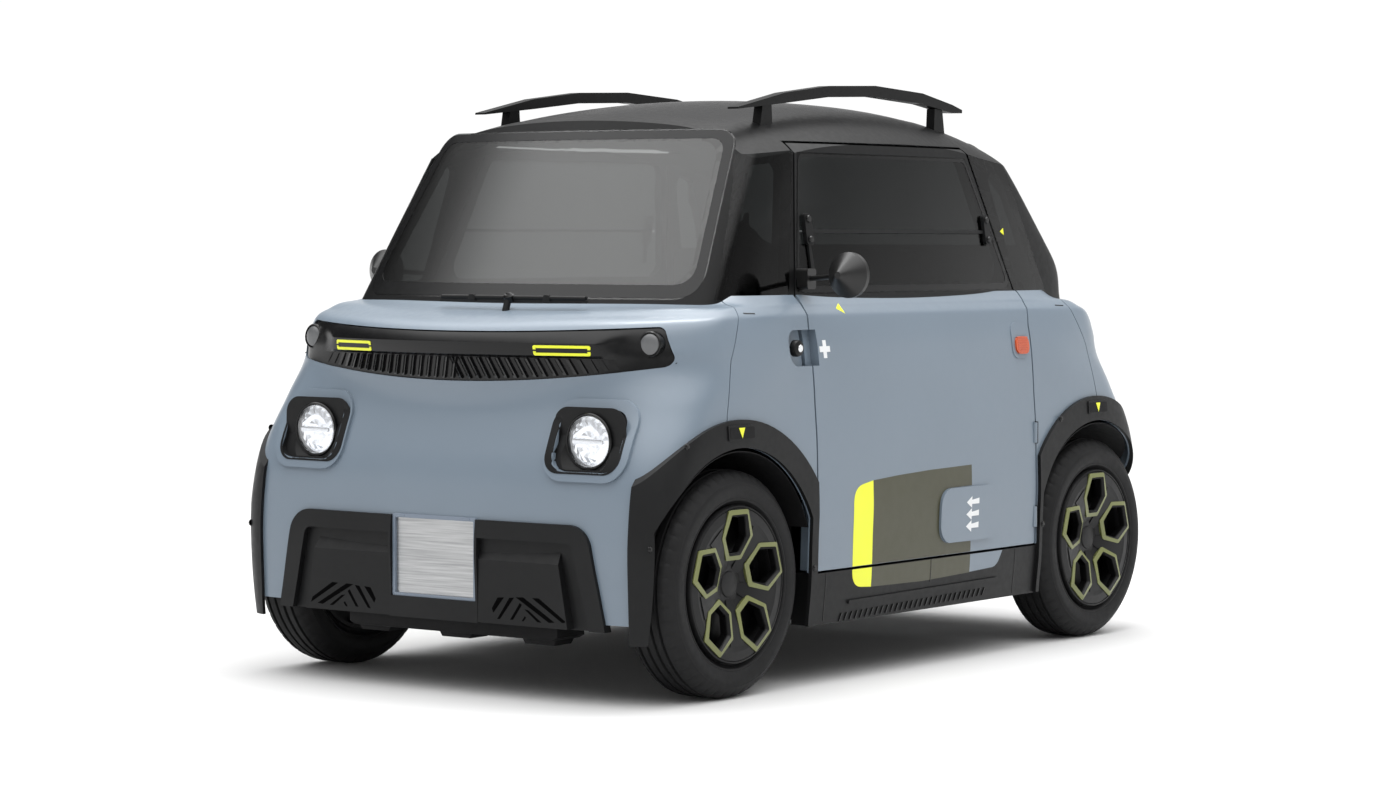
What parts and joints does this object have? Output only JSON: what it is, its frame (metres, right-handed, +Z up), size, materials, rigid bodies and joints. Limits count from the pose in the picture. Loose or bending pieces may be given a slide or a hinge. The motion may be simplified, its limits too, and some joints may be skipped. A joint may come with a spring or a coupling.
{
  "type": "two-seat electric microcar",
  "caption": "Small boxy two-seat electric car with rounded blue-grey plastic body, black greenhouse, hinged side doors, steered front wheels and spoked hexagon wheel covers.",
  "frame": {"origin": "on the ground under the middle of the bounding box", "axes": "+Z up, -Y towards the nose, +X towards the car's left side"},
  "size_m": [1.6324, 2.3848, 1.5239],
  "materials": {
    "skin": "satin",
    "dark": "satin",
    "lamp": "gloss",
    "glass": "gloss",
    "roofglass": "gloss",
    "plate": "brushed",
    "frame": "satin",
    "steel": "satin",
    "tyre": "matte",
    "wheel": "satin",
    "seat": "matte",
    "block": "satin",
    "mirror": "satin"
  },
  "bodies": {
    "body": {"arch_trims": "dark", "battery_box": "block", "bumper_insert_front": "dark", "bumper_insert_rear": "dark", "chassis_frame": "frame", "dashboard": "dark", "door_hinges": "dark", "floor_tub": "dark", "front_fascia": "skin", "front_lenses": "lamp", "front_pillars": "dark", "front_wings": "skin", "handle_cups": "skin", "headlamp_bowls": "dark", "lamp_band_front": "dark", "lamp_band_rear": "dark", "motor_block": "block", "plates": "plate", "quarter_glass": "glass", "rear_axle": "steel", "rear_fascia": "skin", "rear_pillars": "dark", "rear_window": "glass", "rear_wings": "skin", "roof_glass": "roofglass", "roof_rails": "dark", "roof_shell": "dark", "seats": "seat", "sills": "dark", "suspension_front": "steel", "tail_bowls": "dark", "tail_lamps": "lamp", "windscreen": "glass", "wiper": "dark"},
    "steer_left": {"knuckle_left": "steel"},
    "steer_right": {"knuckle_right": "steel"},
    "steering_wheel": {"steering_wheel": "dark"},
    "door_left": {"door_left_frame": "dark", "door_left_glass": "glass", "door_left_mirror": "mirror", "door_left_panel": "skin"},
    "door_right": {"door_right_frame": "dark", "door_right_glass": "glass", "door_right_mirror": "mirror", "door_right_panel": "skin"},
    "wheel_front_left": {"tyre_front_left": "tyre", "wheel_front_left": "wheel"},
    "wheel_front_right": {"tyre_front_right": "tyre", "wheel_front_right": "wheel"},
    "wheel_rear_left": {"tyre_rear_left": "tyre", "wheel_rear_left": "wheel"},
    "wheel_rear_right": {"tyre_rear_right": "tyre", "wheel_rear_right": "wheel"}
  },
  "joints": [
    {"name": "steer_left", "type": "hinge", "parent": "body", "child": "steer_left", "pos_m": [0.525, -0.839, 0.2785], "axis": [0, 0, 1], "range_deg": [-33, 33]},
    {"name": "steer_right", "type": "hinge", "parent": "body", "child": "steer_right", "pos_m": [-0.525, -0.839, 0.2785], "axis": [0, 0, 1], "range_deg": [-33, 33]},
    {"name": "steering_wheel_turn", "type": "hinge", "parent": "body", "child": "steering_wheel", "pos_m": [0.27, -0.33, 0.88], "axis": [0, 0.866, 0.5], "range_deg": [-528, 528]},
    {"name": "door_left", "type": "hinge", "parent": "body", "child": "door_left", "pos_m": [0.6835, 0.547, 0.6], "axis": [0, 0, 1], "range_deg": [0, 75]},
    {"name": "door_right", "type": "hinge", "parent": "body", "child": "door_right", "pos_m": [-0.6835, -0.51, 0.6], "axis": [0, 0, 1], "range_deg": [0, 75]},
    {"name": "spin_front_left", "type": "hinge", "parent": "steer_left", "child": "wheel_front_left", "pos_m": [0.594, -0.839, 0.2785], "axis": [1, 0, 0], "continuous": true},
    {"name": "spin_front_right", "type": "hinge", "parent": "steer_right", "child": "wheel_front_right", "pos_m": [-0.594, -0.839, 0.2785], "axis": [1, 0, 0], "continuous": true},
    {"name": "spin_rear_left", "type": "hinge", "parent": "body", "child": "wheel_rear_left", "pos_m": [0.594, 0.889, 0.2785], "axis": [1, 0, 0], "continuous": true},
    {"name": "spin_rear_right", "type": "hinge", "parent": "body", "child": "wheel_rear_right", "pos_m": [-0.594, 0.889, 0.2785], "axis": [1, 0, 0], "continuous": true}
  ],
  "couplings": [
    {"joint": "steer_right", "follows": "steer_left", "ratio": 1},
    {"joint": "steering_wheel_turn", "follows": "steer_left", "ratio": 16}
  ]
}
